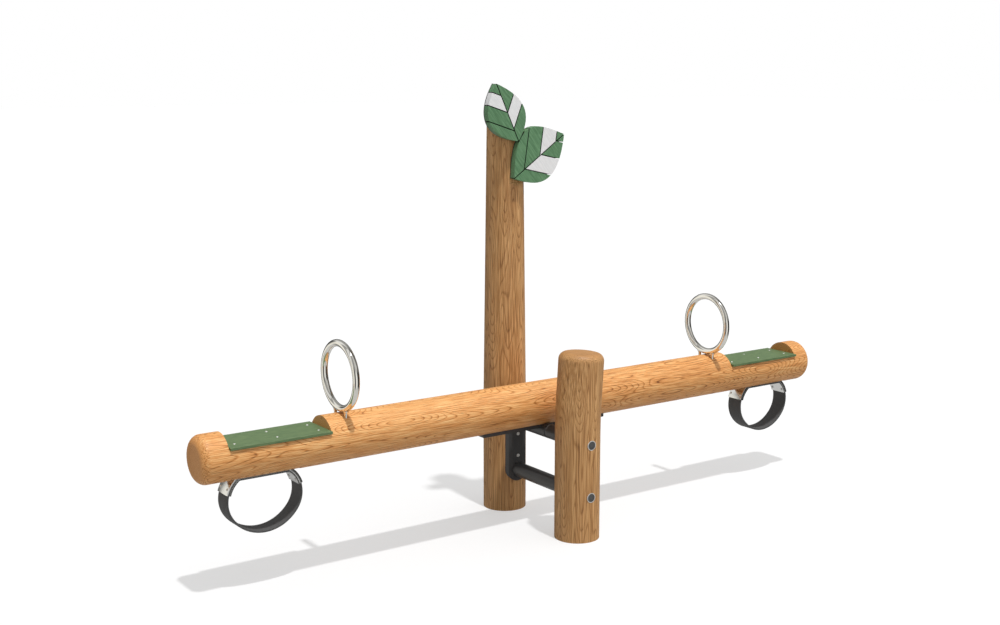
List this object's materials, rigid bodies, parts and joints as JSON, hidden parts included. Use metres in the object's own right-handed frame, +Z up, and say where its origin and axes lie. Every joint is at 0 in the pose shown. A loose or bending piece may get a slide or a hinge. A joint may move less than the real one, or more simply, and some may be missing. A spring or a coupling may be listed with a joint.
{
  "type": "seesaw",
  "caption": "Timber playground seesaw: a round log beam rocks on a steel pivot between a tall and a short post, with ring handles, notched seats, belt bumpers and leaf panels",
  "frame": {"origin": "On the ground, midway between the two posts, below the middle of the beam", "axes": "+X along the beam, +Y from the short post to the tall post, +Z up"},
  "size_m": [3, 0.685, 1.7844],
  "materials": {
    "post_wood": "oiled round timber with long grain",
    "beam_wood": "oiled round timber with long grain",
    "black_steel": "satin powder coat",
    "polished_steel": "polished stainless steel",
    "bumper_steel": "satin stainless steel",
    "fastener_steel": "plain stainless steel",
    "cap_plastic": "matte grey",
    "bush_plastic": "plain nylon",
    "belt_rubber": "matte reinforced rubber",
    "seat_plastic": "fine textured sheet",
    "leaf_green": "green stain with visible grain",
    "leaf_white": "white stain with visible grain"
  },
  "bodies": {
    "frame": {"tall_post": "post_wood", "short_post": "post_wood", "rear_bracket": "black_steel", "front_bracket": "black_steel", "lower_tube": "black_steel", "rear_axle_sleeve": "black_steel", "front_axle_sleeve": "black_steel", "pivot_axle": "fastener_steel", "tie_rod": "fastener_steel", "post_washers": "fastener_steel", "post_nuts": "fastener_steel", "cap_rims": "fastener_steel", "cover_caps": "cap_plastic", "rear_bracket_screws": "fastener_steel", "front_bracket_screws": "fastener_steel", "upper_leaf_plate": "black_steel", "lower_leaf_plate": "black_steel", "leaf_plate_screws": "fastener_steel", "leaf_board_screws": "fastener_steel", "upper_leaf_left_board_1": "leaf_green", "upper_leaf_left_board_2": "leaf_green", "upper_leaf_left_board_3": "leaf_white", "upper_leaf_left_board_4": "leaf_green", "upper_leaf_right_board_1": "leaf_green", "upper_leaf_right_board_2": "leaf_white", "upper_leaf_right_board_3": "leaf_green", "lower_leaf_left_board_1": "leaf_green", "lower_leaf_left_board_2": "leaf_green", "lower_leaf_left_board_3": "leaf_white", "lower_leaf_left_board_4": "leaf_green", "lower_leaf_right_board_1": "leaf_green", "lower_leaf_right_board_2": "leaf_white", "lower_leaf_right_board_3": "leaf_green", "lower_leaf_right_board_4": "leaf_green"},
    "beam": {"beam_log": "beam_wood", "left_saddle_plate": "black_steel", "right_saddle_plate": "black_steel", "bearing_tube": "black_steel", "rear_bush": "bush_plastic", "front_bush": "bush_plastic", "saddle_screws": "fastener_steel", "left_seat_board": "seat_plastic", "right_seat_board": "seat_plastic", "seat_screws": "fastener_steel", "left_handle_ring": "polished_steel", "right_handle_ring": "polished_steel", "handle_washers": "fastener_steel", "handle_nuts": "fastener_steel", "left_bumper_bracket": "bumper_steel", "right_bumper_bracket": "bumper_steel", "left_bumper_belt": "belt_rubber", "right_bumper_belt": "belt_rubber", "bumper_clamp_plates": "bumper_steel", "bumper_clamp_bolts": "fastener_steel", "bumper_clamp_nuts": "fastener_steel", "bumper_screws": "fastener_steel"}
  },
  "joints": [
    {"name": "beam_pivot", "type": "hinge", "parent": "frame", "child": "beam", "pos_m": [0, 0, 0.394], "axis": [0, 1, 0], "range_deg": [-9.2, 9.2]}
  ]
}
